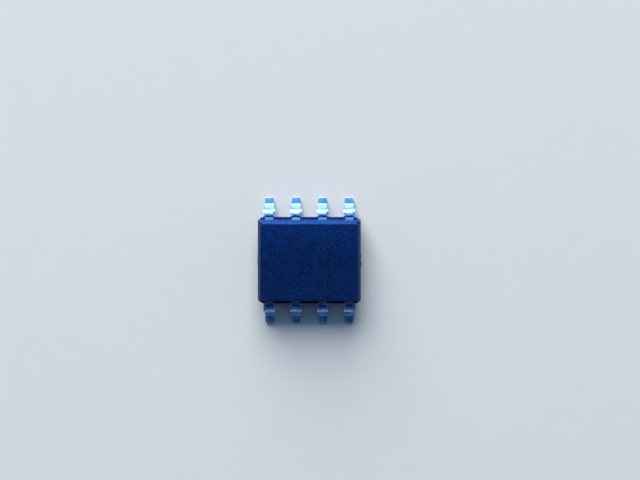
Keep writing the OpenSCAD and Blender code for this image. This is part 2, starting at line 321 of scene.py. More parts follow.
def mixed(tree, x, y, factor, first, second, blend="MIX"):
    """A colour mix between sockets or colours."""
    node = put(tree, "ShaderNodeMix", x, y, data_type="RGBA", blend_type=blend)
    for socket, value in ((node.inputs[0], factor), (node.inputs[6], first), (node.inputs[7], second)):
        if isinstance(value, bpy.types.NodeSocket):
            tree.links.new(value, socket)
        elif isinstance(value, (int, float)):
            socket.default_value = value
        else:
            socket.default_value = (*value, 1.0)
    return node.outputs[2]


def tinted(tree, x, y, tone, mask, share, rgb):
    """Mixes a colour into a tone by a share of a mask."""
    return mixed(tree, x, y, times(tree, x - 200, y - 150, mask, share), tone, rgb)


def ranged(tree, x, y, value, low, high, to_low=0.0, to_high=1.0, smooth=False):
    """A value carried from one range to another, and held at its ends."""
    node = put(
        tree, "ShaderNodeMapRange", x, y,
        {"From Min": low, "From Max": high, "To Min": to_low, "To Max": to_high},
        interpolation_type="SMOOTHSTEP" if smooth else "LINEAR", clamp=True,
    )
    tree.links.new(value, node.inputs["Value"])
    return node.outputs[0]


def parts_of(tree, x, y, vector):
    """The X, Y and Z of a vector."""
    node = put(tree, "ShaderNodeSeparateXYZ", x, y)
    tree.links.new(vector, node.inputs[0])
    return node.outputs


def stretched(tree, x, y, vector, scale):
    """Coordinates scaled along each axis."""
    node = put(tree, "ShaderNodeMapping", x, y, {"Scale": scale})
    tree.links.new(vector, node.inputs["Vector"])
    return node.outputs[0]


def painted(tree, x, y, name):
    """A mask that is stored on the mesh."""
    node = put(tree, "ShaderNodeAttribute", x, y, attribute_type="GEOMETRY", attribute_name=name)
    return node.outputs["Fac"]


def feed(tree, node, **values):
    """Links varying values to a node's named inputs."""
    for key, value in values.items():
        tree.links.new(value, node.inputs[key.replace("_", " ")])


def new_group(name, inputs, outputs):
    """A shader node group with named sockets, and its two end nodes."""
    group = bpy.data.node_groups.new(name, "ShaderNodeTree")
    for label, kind, default in inputs:
        socket = group.interface.new_socket(name=label, in_out="INPUT", socket_type=kind)
        if default is not None:
            socket.default_value = default
    for label, kind in outputs:
        group.interface.new_socket(name=label, in_out="OUTPUT", socket_type=kind)
    return group, put(group, "NodeGroupInput", -1000, 0), put(group, "NodeGroupOutput", 600, 0)


def noise_at(tree, x, y, vector, scale, detail, roughness):
    """Noise with a scale, in cells to the metre, that may be a socket."""
    node = put(tree, "ShaderNodeTexNoise", x, y, {"Detail": detail, "Roughness": roughness})
    tree.links.new(vector, node.inputs["Vector"])
    if isinstance(scale, bpy.types.NodeSocket):
        tree.links.new(scale, node.inputs["Scale"])
    else:
        node.inputs["Scale"].default_value = scale
    return node.outputs["Fac"]


def grain_group():
    """Spark-eroded grain: fine pits for the bump, a slow mottle, and rare bright filler specks."""
    name = "Eroded grain"
    if name in bpy.data.node_groups:
        return bpy.data.node_groups[name]
    tree, enter, leave = new_group(
        name,
        [("Vector", "NodeSocketVector", None), ("Grain size", "NodeSocketFloat", 0.05 * MM),
         ("Speck amount", "NodeSocketFloat", 0.02)],
        [("Height", "NodeSocketFloat"), ("Mottle", "NodeSocketFloat"), ("Speck", "NodeSocketFloat")],
    )
    vector, size, specks = enter.outputs[:3]
    fine_scale = maths(tree, "DIVIDE", -800, 200, 1.0, size)
    slow_scale = times(tree, -800, 0, fine_scale, 0.18)
    fine = noise_at(tree, -600, 300, vector, fine_scale, 3.0, 0.6)
    slow = noise_at(tree, -600, 0, vector, slow_scale, 3.0, 0.55)
    cells = put(tree, "ShaderNodeTexVoronoi", -600, -300, feature="F1", distance="EUCLIDEAN")
    feed(tree, cells, Vector=vector, Scale=times(tree, -800, -300, fine_scale, 1.25))
    pits = ranged(tree, -400, -300, cells.outputs["Distance"], 0.0, 0.7, smooth=True)
    height = plus(tree, -200, 200, times(tree, -300, 300, fine, 0.6), times(tree, -300, -100, pits, 0.4))
    mottle = plus(tree, 100, 0, times(tree, -100, 50, fine, 0.55), times(tree, -100, -50, slow, 0.45))
    chance = put(tree, "ShaderNodeSeparateColor", -400, -500)
    tree.links.new(cells.outputs["Color"], chance.inputs[0])
    rare = maths(tree, "LESS_THAN", -200, -500, chance.outputs[0], specks)
    apart = maths(tree, "DIVIDE", -400, -700, cells.outputs["Distance"],
                  plus(tree, -550, -700, chance.outputs[1], 0.25))
    near = ranged(tree, -200, -700, apart, 0.08, 0.40, 1.0, 0.0, True)
    feed(tree, leave, Height=height, Mottle=mottle, Speck=times(tree, 100, -500, rare, near))
    return tree


def edge_wear_group():
    """A broken mask along the edges, from how far a rounded normal turns away from the face."""
    name = "Edge wear"
    if name in bpy.data.node_groups:
        return bpy.data.node_groups[name]
    tree, enter, leave = new_group(
        name,
        [("Vector", "NodeSocketVector", None), ("Radius", "NodeSocketFloat", 0.03 * MM),
         ("Breaks", "NodeSocketFloat", 9000.0)],
        [("Mask", "NodeSocketFloat")],
    )
    vector, radius, breaks = enter.outputs[:3]
    rounded = put(tree, "ShaderNodeBevel", -600, 200, samples=6)
    tree.links.new(radius, rounded.inputs["Radius"])
    facing = put(tree, "ShaderNodeNewGeometry", -600, 0)
    turn = put(tree, "ShaderNodeVectorMath", -400, 100, operation="DOT_PRODUCT")
    tree.links.new(rounded.outputs["Normal"], turn.inputs[0])
    tree.links.new(facing.outputs["True Normal"], turn.inputs[1])
    edge = ranged(tree, -200, 100, turn.outputs["Value"], 0.995, 0.86, smooth=True)
    gaps = noise_at(tree, -400, -200, vector, breaks, 4.0, 0.65)
    broken = ranged(tree, -200, -200, gaps, 0.38, 0.62, smooth=True)
    feed(tree, leave, Mask=times(tree, 200, 0, edge, broken))
    return tree


def dust_group():
    """Fine dust that lies on faces that look up."""
    name = "Settled dust"
    if name in bpy.data.node_groups:
        return bpy.data.node_groups[name]
    tree, enter, leave = new_group(
        name,
        [("Vector", "NodeSocketVector", None), ("Scale", "NodeSocketFloat", 16000.0)],
        [("Mask", "NodeSocketFloat")],
    )
    vector, scale = enter.outputs[:2]
    facing = put(tree, "ShaderNodeNewGeometry", -600, 0)
    up = parts_of(tree, -400, 0, facing.outputs["Normal"])["Z"]
    up = ranged(tree, -200, 0, up, 0.3, 0.95, smooth=True)
    motes = noise_at(tree, -400, 200, vector, scale, 2.0, 0.7)
    motes = ranged(tree, -200, 200, motes, 0.66, 0.76, smooth=True)
    feed(tree, leave, Mask=times(tree, 200, 0, up, motes))
    return tree


def use_group(tree, group, x, y, vector, **values):
    """Places a node group in a material with its own values."""
    node = put(tree, "ShaderNodeGroup", x, y, node_tree=group)
    tree.links.new(vector, node.inputs["Vector"])
    for key, value in values.items():
        node.inputs[key.replace("_", " ")].default_value = value
    return node


def new_material(name, **plain):
    """A material with object coordinates and a Principled shader with plain values on its sockets."""
    material = bpy.data.materials.new(name)
    material.use_nodes = True
    tree = material.node_tree
    tree.nodes.clear()
    out = put(tree, "ShaderNodeOutputMaterial", 900, 0)
    shader = put(tree, "ShaderNodeBsdfPrincipled", 600, 0)
    for key, value in plain.items():
        shader.inputs[key.replace("_", " ")].default_value = value
    tree.links.new(shader.outputs[0], out.inputs[0])
    place = put(tree, "ShaderNodeTexCoord", -1200, 0)
    return material, tree, shader, place.outputs["Object"]


def bump(tree, x, y, height, distance, under=None):
    """Relief of a depth, over another relief where one is given."""
    node = put(tree, "ShaderNodeBump", x, y, {"Strength": 1.0, "Distance": distance})
    tree.links.new(height, node.inputs["Height"])
    if under is not None:
        tree.links.new(under, node.inputs["Normal"])
    return node.outputs[0]


def lighter(rgb, factor, lift=0.0):
    """A colour made lighter or darker."""
    return tuple(min(1.0, c * factor + lift) for c in rgb)


def resin_material(name, settings, torn=False):
    """Epoxy moulding compound: spark-eroded where moulded, paler and coarser where torn; painted light
    makes it lighter towards +Y and adds a painted sheen to the upper walls.
    """
    material, tree, shader, place = new_material(
        name, Specular_IOR_Level=0.27, IOR=1.55, Specular_Tint=(0.07, 0.48, 1.0, 1.0)
    )
    base = settings.resin_colour
    grain_size, grain_depth = settings.grain_size, settings.grain_depth
    if torn:
        base = lighter(base, 1.4, 0.001)
        grain_size, grain_depth = 0.7 * grain_size, 1.6 * grain_depth
    grain = use_group(tree, grain_group(), -900, 200, place, Grain_size=grain_size, Speck_amount=0.02)
    filler = use_group(tree, grain_group(), -900, 900, place,
                       Grain_size=1.6 * settings.grain_size, Speck_amount=0.22)
    wear = use_group(tree, edge_wear_group(), -900, -400, place, Radius=0.03 * MM, Breaks=11000.0)
    dust = use_group(tree, dust_group(), -900, -600, place, Scale=15000.0)
    polish_and_painted_sheen = painted(tree, -300, -700, "polish_and_painted_sheen")

    middling = noise_at(tree, -900, 0, place, 0.52 / settings.grain_size, 3.0, 0.68)
    mottle = plus(tree, -780, 200, times(tree, -850, 250, grain.outputs["Mottle"], 0.35),
                  times(tree, -850, 150, middling, 0.65))
    mottle = ranged(tree, -650, 200, mottle, 0.36, 0.66)
    cloud = ranged(tree, -650, -200, noise_at(tree, -900, -200, place, 900.0, 3.0, 0.5), 0.35, 0.65)
    # Painted light: the tone is multiplied darker towards -Y and lighter towards +Y, the window's side.
    painted_light_along_y = parts_of(tree, -900, 600, place)["Y"]
    fade = ranged(tree, -700, 600, painted_light_along_y, -0.1 * MM, BODY_HIGH.y, 0.74, 1.32, True)

    tone = mixed(tree, -450, 200, mottle, lighter(base, 0.06), lighter(base, 2.05, 0.0012))
    tone = tinted(tree, -250, 200, tone, cloud, 0.35, lighter(base, 1.3, 0.0004))
    tone = tinted(tree, -50, 200, tone, wear.outputs["Mask"], 0.35, lighter(base, 2.2, 0.004))
    # Painted light: lighter towards the window at +Y, darker away from it.
    tone = mixed(tree, 50, 400, 1.0, tone, fade, "MULTIPLY")
    tone = tinted(tree, 150, 200, tone, grain.outputs["Speck"], 0.4, settings.speck_colour)
    tone = tinted(tree, 250, 400, tone, filler.outputs["Speck"], 0.48, settings.filler_colour)
    tone = tinted(tree, 350, 200, tone, dust.outputs["Mask"], 0.10, settings.dust_colour)
    # Painted sheen: the upper walls are lighter, fully on the +Y walls that face the window.
    tone = tinted(tree, 450, 200, tone, polish_and_painted_sheen, 0.5, lighter(base, 2.4, 0.0006))

    rough = ranged(tree, 0, -100, grain.outputs["Mottle"], 0.3, 0.7, 0.66, 0.82)
    rough = minus(tree, 100, -100, rough, times(tree, -50, -700, polish_and_painted_sheen, 0.48))
    rough = minus(tree, 200, -100, rough, times(tree, 50, -250, grain.outputs["Speck"], 0.2), clamp=True)
    pitted = bump(tree, 350, -300, grain.outputs["Height"], grain_depth)
    feed(tree, shader, Base_Color=tone, Roughness=rough, Normal=pitted)
    return material


def plated_material(settings):
    """Matte tin over copper: crystals, lines drawn by forming, bare trimmed faces and crept resin."""
    material, tree, shader, place = new_material("tin_plating", IOR=1.5)
    tin = settings.plating_colour
    grain = use_group(tree, grain_group(), -900, 300, place, Grain_size=0.022 * MM, Speck_amount=0.06)
    wear = use_group(tree, edge_wear_group(), -900, 0, place, Radius=0.02 * MM, Breaks=16000.0)
    cloud = noise_at(tree, -900, -250, place, 3200.0, 4.0, 0.6)
    across = stretched(tree, -1000, -500, place, (26000.0, 2200.0, 2200.0))
    lines = noise_at(tree, -800, -500, across, 1.0, 3.0, 0.6)

    ragged = plus(tree, -650, -750, painted(tree, -900, -750, "bare"), times(tree, -750, -850, cloud, 0.9))
    copper = ranged(tree, -450, -750, ragged, 1.36, 1.46, smooth=True)
    resin = crept_resin(tree, place, settings)

    drift = ranged(tree, -650, -250, cloud, 0.32, 0.68)
    tone = mixed(tree, -300, 250, drift, lighter(tin, 0.82), lighter(tin, 1.12, 0.02))
    tone = tinted(tree, -100, 250, tone, grain.outputs["Speck"], 0.5, lighter(tin, 1.3, 0.1))
    # Lighter rolled edges: partly wear of the plating, partly a painted highlight along the rims.
    tone = tinted(tree, 100, 250, tone, wear.outputs["Mask"], 0.35, lighter(tin, 1.2, 0.08))
    tone = mixed(tree, 300, 250, copper, tone, settings.bare_colour)
    tone = mixed(tree, 450, 250, resin, tone, settings.bleed_colour)

    rough = ranged(tree, -300, -150, cloud, 0.3, 0.7, 0.24, 0.38)
    rough = plus(tree, 0, -150, rough, times(tree, -150, -250, copper, 0.16), clamp=True)
    rough = minus(tree, 200, -150, rough, times(tree, 50, -250, wear.outputs["Mask"], 0.06), clamp=True)
    rough = plus(tree, 350, -150, rough, times(tree, 200, -300, resin, 0.3), clamp=True)
    metal = ranged(tree, 200, -20, grain.outputs["Mottle"], 0.3, 0.7, 0.66, 0.80)
    metal = times(tree, 400, -20, metal, minus(tree, 300, -60, 1.0, resin))
    drawn = bump(tree, 100, -500, lines, 0.0012 * MM)
    crystals = bump(tree, 350, -400, grain.outputs["Height"], 0.0022 * MM, under=drawn)
    feed(tree, shader, Base_Color=tone, Roughness=rough, Metallic=metal, Normal=crystals)
    return material


def crept_resin(tree, place, settings):
    """A mask of the wavering line where resin ended on the shoulders, further out on the -Y row."""
    y = parts_of(tree, -1300, -1100, place)["Y"]
    line = ranged(tree, -1100, -1000, y, -MM, MM,
                  BODY_HIGH.y + settings.lower_bleed, BODY_HIGH.y + settings.upper_bleed)
    waver = noise_at(tree, -1300, -1300, place, 9500.0, 2.0, 0.75)
    waver = ranged(tree, -1100, -1300, waver, 0.3, 0.7, -settings.bleed_waver, settings.bleed_waver)
    apart = minus(tree, -900, -1100, maths(tree, "ABSOLUTE", -1100, -1150, y),
                  plus(tree, -1000, -1250, line, waver))
    near = ranged(tree, -650, -1050, maths(tree, "ABSOLUTE", -800, -1100, apart),
                  0.8 * settings.bleed_width, 0.5 * settings.bleed_width, smooth=True)
    return times(tree, -450, -950, near, painted(tree, -900, -950, "bleed"))


def copper_material(settings):
    """Lead-frame copper: rolled lines, thin tarnish, brighter edges and smeared tin on the cut ends."""
    material, tree, shader, place = new_material("frame_copper", IOR=1.5)
    base = settings.copper_colour
    grain = use_group(tree, grain_group(), -900, 200, place, Grain_size=0.03 * MM, Speck_amount=0.02)
    wear = use_group(tree, edge_wear_group(), -900, -50, place, Radius=0.02 * MM, Breaks=9000.0)
    along = stretched(tree, -1000, -400, place, (900.0, 24000.0, 24000.0))
    lines = noise_at(tree, -800, -400, along, 1.0, 3.0, 0.6)
    cloud = noise_at(tree, -900, -200, place, 2200.0, 4.0, 0.6)
    tarnish = ranged(tree, -600, -200, cloud, 0.4, 0.7, smooth=True)
    from_middle = maths(tree, "ABSOLUTE", -650, 500, parts_of(tree, -900, 500, place)["X"])
    cut_end = ranged(tree, -400, 500, from_middle, PADDLE_END - 0.06 * MM, PADDLE_END - 0.015 * MM)
    patch = noise_at(tree, -650, 350, along, 0.45, 4.0, 0.7)
    patch = ranged(tree, -400, 350, patch, 0.36, 0.56, 0.15, 0.92, True)
    tone = mixed(tree, -300, 200, tarnish, base, lighter(base, 0.55))
    tone = tinted(tree, -100, 200, tone, wear.outputs["Mask"], 0.6, lighter(base, 1.4, 0.05))
    tone = mixed(tree, 100, 200, times(tree, -200, 500, cut_end, patch), tone, settings.smear_colour)
    rough = ranged(tree, 0, -100, cloud, 0.3, 0.7, 0.24, 0.46)
    metal = ranged(tree, 0, -250, tarnish, 0.0, 1.0, 1.0, 0.88)
    rolled = bump(tree, 0, -450, lines, 0.0016 * MM)
    pitted = bump(tree, 250, -400, grain.outputs["Height"], 0.001 * MM, under=rolled)
    feed(tree, shader, Base_Color=tone, Roughness=rough, Metallic=metal, Normal=pitted)
    return material


def adhesive_material(settings):
    """Silver-filled epoxy: flakes in a dull paste."""
    material, tree, shader, place = new_material("silver_adhesive", IOR=1.5)
    base = settings.adhesive_colour
    grain = use_group(tree, grain_group(), -900, 200, place, Grain_size=0.025 * MM, Speck_amount=0.35)
    mottle, flakes = grain.outputs["Mottle"], grain.outputs["Speck"]
    tone = mixed(tree, -300, 200, mottle, lighter(base, 0.7), lighter(base, 1.2))
    tone = mixed(tree, -100, 200, flakes, tone, settings.flake_colour)
    rough = ranged(tree, 0, -100, mottle, 0.3, 0.7, 0.42, 0.62)
    metal = ranged(tree, 0, -250, flakes, 0.0, 1.0, 0.35, 0.9)
    lumps = bump(tree, 250, -400, grain.outputs["Height"], 0.004 * MM)
    feed(tree, shader, Base_Color=tone, Roughness=rough, Metallic=metal, Normal=lumps)
    return material


def bricks(tree, x, y, vector, scale, gap, width, height, first, second, between):
    """Blocks in rows with gaps between them, as a colour."""
    node = put(
        tree, "ShaderNodeTexBrick", x, y,
        {"Scale": scale, "Mortar Size": gap, "Brick Width": width, "Row Height": height,
         "Color1": (*first, 1.0), "Color2": (*second, 1.0), "Mortar": (*between, 1.0)},
    )
    tree.links.new(vector, node.inputs["Vector"])
    return node.outputs["Color"]


def silicon_material(settings):
    """A die: grey sawn sides, and on top blocks of circuit under glassy oxide."""
    material, tree, shader, place = new_material("silicon_die", IOR=1.9)
    grey, tint = settings.silicon_colour, settings.circuit_colour
    flat = stretched(tree, -1000, 100, place, (1.0, 1.0, 0.0))
    blocks = bricks(tree, -800, 300, flat, 2600.0, 0.03, 0.9, 0.45,
                    lighter(tint, 0.8), tint, settings.streets_colour)
    cells = bricks(tree, -800, 0, flat, 42000.0, 0.08, 0.5, 0.25, [0.9] * 3, [0.7] * 3, [0.35] * 3)
    circuit = mixed(tree, -500, 200, 1.0, blocks, cells, "MULTIPLY")
    facing = put(tree, "ShaderNodeNewGeometry", -800, -300)
    up = parts_of(tree, -600, -300, facing.outputs["Normal"])["Z"]
    top = ranged(tree, -400, -300, up, 0.6, 0.9, smooth=True)
    upright = stretched(tree, -1000, -500, place, (4000.0, 4000.0, 60000.0))
    sawn = noise_at(tree, -800, -500, upright, 1.0, 3.0, 0.6)
    side = mixed(tree, -300, -450, sawn, lighter(grey, 0.7), lighter(grey, 1.3))
    tone = mixed(tree, 0, 100, top, side, circuit)
    rough = ranged(tree, 0, -200, top, 0.0, 1.0, 0.45, 0.16)
    marks = bump(tree, 250, -400, sawn, 0.001 * MM)
    feed(tree, shader, Base_Color=tone, Roughness=rough, Normal=marks)
    return material


def gold_material(settings):
    """Drawn gold wire."""
    material, tree, shader, place = new_material("drawn_gold", IOR=1.5)
    base = settings.gold_colour
    grain = use_group(tree, grain_group(), -900, 200, place, Grain_size=0.012 * MM, Speck_amount=0.05)
    mottle = grain.outputs["Mottle"]
    tone = mixed(tree, -300, 200, mottle, lighter(base, 0.85), lighter(base, 1.1))
    rough = ranged(tree, 0, -100, mottle, 0.3, 0.7, 0.14, 0.26)
    metal = ranged(tree, 0, -250, mottle, 0.0, 1.0, 0.97, 1.0)
    drawn = bump(tree, 250, -400, grain.outputs["Height"], 0.0006 * MM)
    feed(tree, shader, Base_Color=tone, Roughness=rough, Metallic=metal, Normal=drawn)
    return material


# ---------------------------------------------------------------- the moulding

# Radii of the index bevel's lower edge and of the parting edges, and how far from the middle of the
# moulding the latter are rounded.
BROW_RADIUS = 0.07 * MM
BAND_RADIUS = 0.008 * MM
BAND_START = 0.3 * MM

# A chip over a tie bar: where its leaning sides start from at the seating plane, how near to the middle
# the centre of its face lies, how far it starts under and ends over the band's top, its depth, how much of
# its width is left at that depth, and its roof there.
CHIP_EDGES = (-0.155 * MM, 0.15 * MM)
CHIP_REACH = 0.14 * MM
CHIP_LOW = 0.012 * MM
CHIP_HIGH = 0.05 * MM
CHIP_DEPTH = 0.08 * MM
CHIP_TAPER = 0.8
CHIP_ROOF = 0.026 * MM

# The torn resin: how deep it is rooted in the wall, how far from the moulding's ends it stops, from how far
# out its rim is rounded and how much, and its tears.
RESIN_ROOT = 0.03 * MM
RESIN_END = 0.07 * MM
RESIN_RIM = 0.03 * MM
RESIN_RADIUS = 0.006 * MM
TEAR_SIZE = 0.07 * MM
TEAR_DEPTH = 0.016 * MM

# The gate's stub: how deep it is rooted, half its width there, the sides of its torn face, its underside
# and its tears.
GATE_ROOT = 0.05 * MM
GATE_HALF = 0.40 * MM
GATE_EDGES = (-0.304 * MM, 0.24 * MM)
GATE_BOTTOM = 0.64 * MM
GATE_TEAR_SIZE = 0.06 * MM
GATE_TEAR_DEPTH = 0.03 * MM


def drafted_block(bm, m):
    """The parting band, drawn out up and down with the draft of its sides, and cut by the index bevel."""
    half_length, half_width = m.body_length / 2, m.body_width / 2
    block(bm, (-half_length, -half_width, m.band_bottom), (half_length, half_width, m.band_top))
    top, bottom = max(bm.faces, key=height_of), min(bm.faces, key=height_of)
    for face, rise in ((top, BODY_HIGH.z - m.band_top), (bottom, BODY_LOW.z - m.band_bottom)):
        end = draw_out(bm, face, (0, 0, rise))
        shrink_x = 2 * abs(rise) * math.tan(m.end_draft) / m.body_length
        shrink_y = 2 * abs(rise) * math.tan(m.side_draft) / m.body_width
        bmesh.ops.scale(bm, vec=(1 - shrink_x, 1 - shrink_y, 1), verts=end.verts)
    upper = BODY_HIGH.z - m.band_top
    low_y = half_width - (upper - m.index_bevel) * math.tan(m.side_draft)
    high_y = half_width - upper * math.tan(m.side_draft) - m.index_bevel
    rim = cut(bm, (0, low_y, BODY_HIGH.z - m.index_bevel), (0, m.index_bevel, low_y - high_y), clear=True)
    bmesh.ops.edgeloop_fill(bm, edges=rim)


def end_wall(bm, side):
    """The faces of the wall at one end."""
    return [f for f in bm.faces if f.normal.x * side > 0.9]


def chip_over_tie_bars(bm, m):
    """Resin that broke away over the two cut tie bars."""
    low, high = m.band_top - CHIP_LOW, m.band_top + CHIP_HIGH
    for side in (-1, 1):
        for point, normal in (
            ((0, CHIP_EDGES[0], 0), (0, 1, 0.18 * side)),
            ((0, CHIP_EDGES[1], 0), (0, 1, -0.12)),
            ((0, 0, low), (0, 0, 1)),
            ((0, 0, high), (0, 0.16 * side, 1)),
        ):
            wall = end_wall(bm, side)
            parts = {part for face in wall for part in (*face.verts, *face.edges)}
            cut(bm, point, normal, geom=[*parts, *wall])
        chip = [f for f in end_wall(bm, side)
                if abs(f.calc_center_median().y) < CHIP_REACH and low < height_of(f) < high]
        verts = verts_of(bmesh.ops.extrude_face_region(bm, geom=chip)["geom"])
        bmesh.ops.delete(bm, geom=[f for f in chip if f.is_valid], context="FACES_ONLY")
        bmesh.ops.translate(bm, vec=(-CHIP_DEPTH * side, 0, 0), verts=verts)
        for v in verts:
            v.co.y *= CHIP_TAPER
            v.co.z = min(v.co.z, m.band_top + CHIP_ROOF)


def press_ejector_marks(bm, m):
    """Two round marks that the ejector pins left in the underside."""
    under = min(bm.faces, key=height_of)
    rim = list(under.edges)
    level = height_of(under)
    bmesh.ops.delete(bm, geom=[under], context="FACES_ONLY")
    circles = []
    for side in (-1, 1):
        ring = bmesh.ops.create_circle(
            bm, segments=48, radius=m.mark_diameter / 2,
            matrix=Matrix.Translation((side * m.mark_pitch / 2, 0, level)),
        )["verts"]
        circles.append(list({e for v in ring for e in v.link_edges}))
    bmesh.ops.triangle_fill(bm, use_beauty=True, edges=rim + sum(circles, []))
    for side, edges in zip((-1, 1), circles):
        made = bmesh.ops.extrude_edge_only(bm, edges=edges)["geom"]
        ring = verts_of(made)
        to_middle = Matrix.Translation((-side * m.mark_pitch / 2, 0, 0))
        bmesh.ops.translate(bm, vec=(0, 0, m.mark_depth), verts=ring)
        bmesh.ops.scale(bm, vec=(0.94, 0.94, 1), verts=ring, space=to_middle)
        bmesh.ops.edgeloop_fill(bm, edges=edges_of(made))


def round_moulding(bm, m):
    """Rounds the bevel's lower edge, the four uprights, and the rims of the top and the underside."""
    bm.normal_update()
    brow = [e for e in bm.edges if e.is_manifold and all(f.normal.y > 0.6 for f in e.link_faces)
            and middle_of(e).z > m.band_top + TINY]
    round_off(bm, brow, BROW_RADIUS, 6)
    bm.normal_update()
    uprights = [
        e for e in bm.edges
        if e.is_manifold and sorted(round(abs(f.normal.x)) for f in e.link_faces) == [0, 1]
        and all(abs(f.normal.z) < 0.9 for f in e.link_faces)
    ]
    round_off(bm, uprights, m.corner_radius, 6)
    bm.normal_update()
    rims = [e for e in bm.edges if e.is_manifold
            and sorted(abs(f.normal.z) > 0.95 for f in e.link_faces) == [False, True]]
    round_off(bm, rims, m.edge_radius, 5)
    bm.normal_update()


def soften_band(bm, m):
    """Takes the sharpness off the parting edges, away from the chips."""
    def on_parting_edge(e):
        at = middle_of(e)
        off = min(abs(at.z - m.band_top), abs(at.z - m.band_bottom))
        return off < 10 * TINY and abs(at.y) > BAND_START

    bm.normal_update()
    round_off(bm, hard_edges(bm, 5, on_parting_edge), BAND_RADIUS, 2)
    bm.normal_update()


class CHIP_OT_moulding(Operator):
    """Model the moulding: drafted block, index bevel, rounded edges, chips and ejector marks"""

    bl_idname = "chip.moulding"
    bl_label = "Moulding"

    def execute(self, context):
        m = context.scene.chip_moulding
        bm = bmesh.new()
        drafted_block(bm, m)
        round_moulding(bm, m)
        chip_over_tie_bars(bm, m)
        press_ejector_marks(bm, m)
        soften_band(bm, m)
        # The upper walls are polished to a lower roughness and carry a painted sheen, full on the +Y walls
        # that face the window and a quarter on the others.
        polish_and_painted_sheen = bm.faces.layers.float.new("polish_and_painted_sheen")
        for face in bm.faces:
            upper_wall = 0.05 < face.normal.z < 0.9
            face[polish_and_painted_sheen] = (1.0 if face.normal.y > 0.5 else 0.25) if upper_wall else 0.0
        material = resin_material("spark_eroded_resin", m)
        finished(bm, "moulding", [material], ["package_body"])
        return {"FINISHED"}


def resin_ledges(bm, m, s):
    """The resin between the leads of the +Y row and past its ends, torn along its outer face."""
    half = s.shoulder_width / 2
    wall = m.body_width / 2
    centres = [lead_centre(i) for i in (4, 3, 2, 1)]
    spans = [(a + half, b - half) for a, b in zip(centres, centres[1:])]
    reach = centres[-1] + half
    end_length = m.body_length / 2 - RESIN_END - reach
    spans += [(reach, reach + end_length), (-reach - end_length, -reach)]
    for low, high in spans:
        block(bm, (low, wall - RESIN_ROOT, m.band_bottom), (high, BODY_HIGH.y, m.band_top))
    for axis, cuts in ((X, 11), (Z, 4)):
        long_edges = [e for e in bm.edges if run(e, axis) > LONG]
        bmesh.ops.subdivide_edges(bm, edges=long_edges, cuts=cuts, use_grid_fill=True)
    for v in bm.verts:
        if v.co.y > wall:
            past = max(0.0, abs(v.co.x) - reach) / end_length
            fall = 3.5 if v.co.x < 0 else 2.0
            proud = (BODY_HIGH.y - wall) * (1 - 0.96 * past ** fall)
            tear = abs(noise.noise(v.co / TEAR_SIZE)) * TEAR_DEPTH
            v.co.y = wall + max(0.0, proud - tear)
    bm.normal_update()
    rim = hard_edges(bm, 60, lambda e: middle_of(e).y > wall + RESIN_RIM and run(e, X) > 10 * TINY)
    round_off(bm, rim, RESIN_RADIUS, 2)


def gate_stub(bm, m):
    """The wedge of resin at the +X end where the gate was broken off."""
    wall = m.body_length / 2
    low, high = (wall - GATE_ROOT, -GATE_HALF, GATE_BOTTOM), (BODY_HIGH.x, GATE_HALF, m.band_bottom)
    for v in block(bm, low, high):
        if v.co.x > wall:
            v.co.y = GATE_EDGES[0] if v.co.y < 0 else GATE_EDGES[1]
    bmesh.ops.subdivide_edges(bm, edges=bm.edges, cuts=9, use_grid_fill=True)
    for v in bm.verts:
        if v.co.x > wall:
            v.co.x -= abs(noise.noise(v.co / GATE_TEAR_SIZE)) * GATE_TEAR_DEPTH


class CHIP_OT_torn_resin(Operator):
    """Model the resin that ran out to the dambar between the leads, and the stub of the gate"""

    bl_idname = "chip.torn_resin"
    bl_label = "Torn resin"

    def execute(self, context):
        m = context.scene.chip_moulding
        material = resin_material("torn_resin", m, torn=True)
        bm = bmesh.new()
        resin_ledges(bm, m, context.scene.chip_leads)
        copy = verts_of(bmesh.ops.duplicate(bm, geom=everything(bm))["geom"])
        bmesh.ops.rotate(bm, verts=copy, cent=(0, 0, 0), matrix=TURNED_ROUND)
        finished(bm, "dambar_resin", [material])
        bm = bmesh.new()
        gate_stub(bm, m)
        finished(bm, "gate_stub", [material])
        return {"FINISHED"}


# ---------------------------------------------------------------- the leads

PITCH = 1.27 * MM
LEAD_CREASE = 23.5

# A level edge runs less than this along Z, and one across the whole lead further than this along X.
LEVEL = 0.03 * MM
ACROSS = 0.3 * MM

# Inside the moulding: how far the heads run in and to each side, and the corner leads' longer heads
# and their tails round the paddle's corners.
HEAD_DEPTH = 0.30 * MM
HEAD_REACH = 0.38 * MM
CORNER_REACH = 0.60 * MM
TAIL_EDGE = 0.145 * MM
TAIL_END = 0.60 * MM
HEAD_CORNER = 0.06 * MM

# Along a lead: the rings just inside the wall and the resin's edge, the ring where the clamp's print starts
# to fade, where it ends past the resin and what it fades over, and how far out rings are pressed at all.
RING_STEP = 0.03 * MM
FADE_START = 0.02 * MM
CLAMP_END = 0.045 * MM
CLAMP_FADE = 0.065 * MM
PRESSED = 0.04 * MM

# How far inside the resin's edge the fine rows and the rolled edges start.
ROWS_START = 0.12 * MM
ROLLED_START = 0.2 * MM

# Dents in the plating and where they start inside the resin, the wander of the clamp's line, and the burrs
# on the sides of the cut stubs.
DENT_START = 0.10 * MM
DENT_SIZE = 0.11 * MM
DENT_DEPTH = 0.0035 * MM
DENT_SINK = 0.001 * MM
WANDER_PLACE = 0.055 * MM
WANDER_REACH = 0.035 * MM
WANDER_SIZE = 0.05 * MM
WANDER = 0.02 * MM
BURR_START = 0.01 * MM
BURR_BAND = 0.02 * MM
BURR_SIZE = 0.032 * MM
BURR_HEIGHT = 0.055 * MM
BURR_SINK = 0.006 * MM

